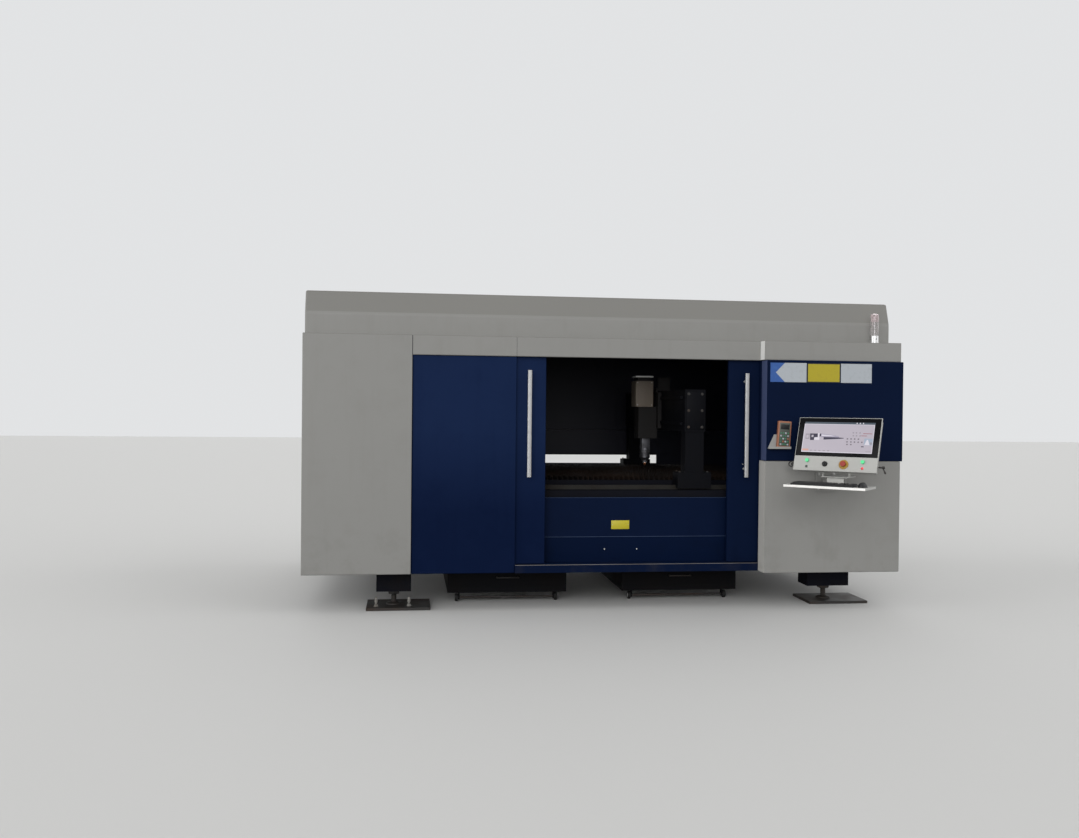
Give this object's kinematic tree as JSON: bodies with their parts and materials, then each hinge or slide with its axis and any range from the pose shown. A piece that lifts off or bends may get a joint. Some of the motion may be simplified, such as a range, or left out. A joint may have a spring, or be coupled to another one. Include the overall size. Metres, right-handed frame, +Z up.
{
  "type": "fiber laser cutting machine",
  "caption": "Enclosed laser cutting machine with sliding doors, slat bed, travelling gantry and cutting head, slag carts and a swivelling operator console.",
  "frame": {"origin": "centre of the whole machine's bounding box at floor level", "axes": "+X along the machine to the cabinet end, -Y towards the operator, +Z up"},
  "size_m": [4.4, 3.2982, 2.293],
  "materials": {
    "grey_paint": "light grey powder coat, fine texture",
    "blue_paint": "dark navy powder coat, fine texture",
    "bed_paint": "dark paint on welded steel",
    "gantry_paint": "dark grey paint",
    "carriage_paint": "mid grey paint",
    "steel": "ground steel",
    "dark_steel": "dark weathered steel",
    "bright_steel": "brushed stainless steel",
    "slat_steel": "scorched, slightly rusty steel",
    "cart_steel": "dark paint on folded sheet",
    "caster_plastic": "moulded wheel plastic",
    "window_tint": "green laser safety glass",
    "screen_glass": "dark glossy touch screen",
    "dark_plastic": "black moulded plastic",
    "pale_plastic": "pale grey painted sheet",
    "orange_plastic": "orange and grey moulded plastic",
    "red_plastic": "red moulded plastic",
    "green_lamp": "green lit push button",
    "clear_lens": "clear ribbed lens",
    "red_lens": "pale red lens"
  },
  "bodies": {
    "machine": {"base_frame": "bed_paint", "left_cover": "grey_paint", "front_fixed_panel": "blue_paint", "top_band_left": "grey_paint", "top_band_doors": "grey_paint", "top_band_cabinet": "grey_paint", "hood": "grey_paint", "left_side_wall": "grey_paint", "right_side_wall": "grey_paint", "rear_wall": "grey_paint", "lower_front_panel": "blue_paint", "door_sill": "blue_paint", "door_top_rail": "steel", "cabinet_frame": "grey_paint", "cabinet_upper_cover": "blue_paint", "cabinet_lower_cover": "grey_paint", "stack_light_base": "dark_plastic", "stack_light_clear_lens": "clear_lens", "stack_light_red_lens": "red_lens", "x_rail_front": "steel", "x_rail_rear": "steel", "slat_table": "slat_steel", "console_wall_bracket": "grey_paint", "remote_holder": "pale_plastic", "hand_remote": "orange_plastic", "levelling_screw_front_left": "steel", "floor_plate_front_left": "dark_steel", "levelling_screw_front_right": "steel", "floor_plate_front_right": "dark_steel", "levelling_screw_rear_left": "steel", "floor_plate_rear_left": "dark_steel", "levelling_screw_rear_right": "steel", "floor_plate_rear_right": "dark_steel"},
    "door_left": {"door_left_leaf": "blue_paint", "door_left_window": "window_tint", "door_left_handle": "bright_steel"},
    "door_right": {"door_right_leaf": "blue_paint", "door_right_window": "window_tint", "door_right_handle": "bright_steel"},
    "gantry": {"gantry_beam": "gantry_paint"},
    "carriage": {"carriage": "carriage_paint", "z_axis_cover": "grey_paint"},
    "head": {"cutting_head": "steel"},
    "console_swivel": {"console_yoke": "grey_paint", "console_tilt_shaft": "dark_steel", "keyboard_tray": "grey_paint", "keyboard": "dark_plastic", "mouse": "dark_plastic"},
    "console_head": {"console_housing": "grey_paint", "console_screen": "screen_glass"},
    "start_button": {"start_button": "green_lamp"},
    "reset_button": {"reset_button": "green_lamp"},
    "emergency_stop": {"emergency_stop": "red_plastic"},
    "key_switch": {"key_switch": "dark_plastic"},
    "slag_cart_left": {"slag_cart_left": "cart_steel"},
    "slag_cart_right": {"slag_cart_right": "cart_steel"},
    "left_cart_front_axle": {"cart_left_front_wheels": "caster_plastic"},
    "left_cart_rear_axle": {"cart_left_rear_wheels": "caster_plastic"},
    "right_cart_front_axle": {"cart_right_front_wheels": "caster_plastic"},
    "right_cart_rear_axle": {"cart_right_rear_wheels": "caster_plastic"}
  },
  "joints": [
    {"name": "door_left_slide", "type": "slide", "parent": "machine", "child": "door_left", "axis": [1, 0, 0], "range_m": [0, 0.69]},
    {"name": "door_right_slide", "type": "slide", "parent": "machine", "child": "door_right", "axis": [-1, 0, 0], "range_m": [0, 0.678]},
    {"name": "gantry_travel", "type": "slide", "parent": "machine", "child": "gantry", "axis": [1, 0, 0], "range_m": [-1.99, 0.95]},
    {"name": "carriage_travel", "type": "slide", "parent": "gantry", "child": "carriage", "axis": [0, 1, 0], "range_m": [-0.53, 0.97]},
    {"name": "head_lift", "type": "slide", "parent": "carriage", "child": "head", "axis": [0, 0, 1], "range_m": [-0.035, 0.08]},
    {"name": "console_turn", "type": "hinge", "parent": "machine", "child": "console_swivel", "pos_m": [1.596, -1.18192, 0.95], "axis": [0, 0, 1], "range_deg": [-4, 72]},
    {"name": "console_tilt", "type": "hinge", "parent": "console_swivel", "child": "console_head", "pos_m": [1.52982, -1.25542, 1.08229], "axis": [0.7431, -0.6691, 0], "range_deg": [-7, 20]},
    {"name": "start_press", "type": "slide", "parent": "console_head", "child": "start_button", "axis": [0.6288, 0.6983, -0.342], "range_m": [0, 0.004], "stiffness_N_per_m": 800, "springref_m": -0.001},
    {"name": "reset_press", "type": "slide", "parent": "console_head", "child": "reset_button", "axis": [0.6288, 0.6983, -0.342], "range_m": [0, 0.004], "stiffness_N_per_m": 800, "springref_m": -0.001},
    {"name": "stop_press", "type": "slide", "parent": "console_head", "child": "emergency_stop", "axis": [0.6288, 0.6983, -0.342], "range_m": [0, 0.005], "stiffness_N_per_m": 1500, "springref_m": -0.001},
    {"name": "key_turn", "type": "hinge", "parent": "console_head", "child": "key_switch", "pos_m": [1.44956, -1.24144, 1.09486], "axis": [-0.6288, -0.6983, 0.342], "range_deg": [-90, 0]},
    {"name": "left_cart_roll", "type": "slide", "parent": "machine", "child": "slag_cart_left", "axis": [0, -1, 0], "range_m": [0, 1.2]},
    {"name": "left_cart_front_axle_turn", "type": "hinge", "parent": "slag_cart_left", "child": "left_cart_front_axle", "pos_m": [-0.71, -0.39092, 0.0304], "axis": [1, 0, 0], "continuous": true},
    {"name": "left_cart_rear_axle_turn", "type": "hinge", "parent": "slag_cart_left", "child": "left_cart_rear_axle", "pos_m": [-0.71, 1.09908, 0.0304], "axis": [1, 0, 0], "continuous": true},
    {"name": "right_cart_roll", "type": "slide", "parent": "machine", "child": "slag_cart_right", "axis": [0, -1, 0], "range_m": [0, 1.2]},
    {"name": "right_cart_front_axle_turn", "type": "hinge", "parent": "slag_cart_right", "child": "right_cart_front_axle", "pos_m": [0.62, -0.39092, 0.0304], "axis": [1, 0, 0], "continuous": true},
    {"name": "right_cart_rear_axle_turn", "type": "hinge", "parent": "slag_cart_right", "child": "right_cart_rear_axle", "pos_m": [0.62, 1.09908, 0.0304], "axis": [1, 0, 0], "continuous": true}
  ],
  "couplings": [
    {"joint": "left_cart_front_axle_turn", "follows": "left_cart_roll", "rad_per_m": 33.333},
    {"joint": "left_cart_rear_axle_turn", "follows": "left_cart_roll", "rad_per_m": 33.333},
    {"joint": "right_cart_front_axle_turn", "follows": "right_cart_roll", "rad_per_m": 33.333},
    {"joint": "right_cart_rear_axle_turn", "follows": "right_cart_roll", "rad_per_m": 33.333}
  ]
}
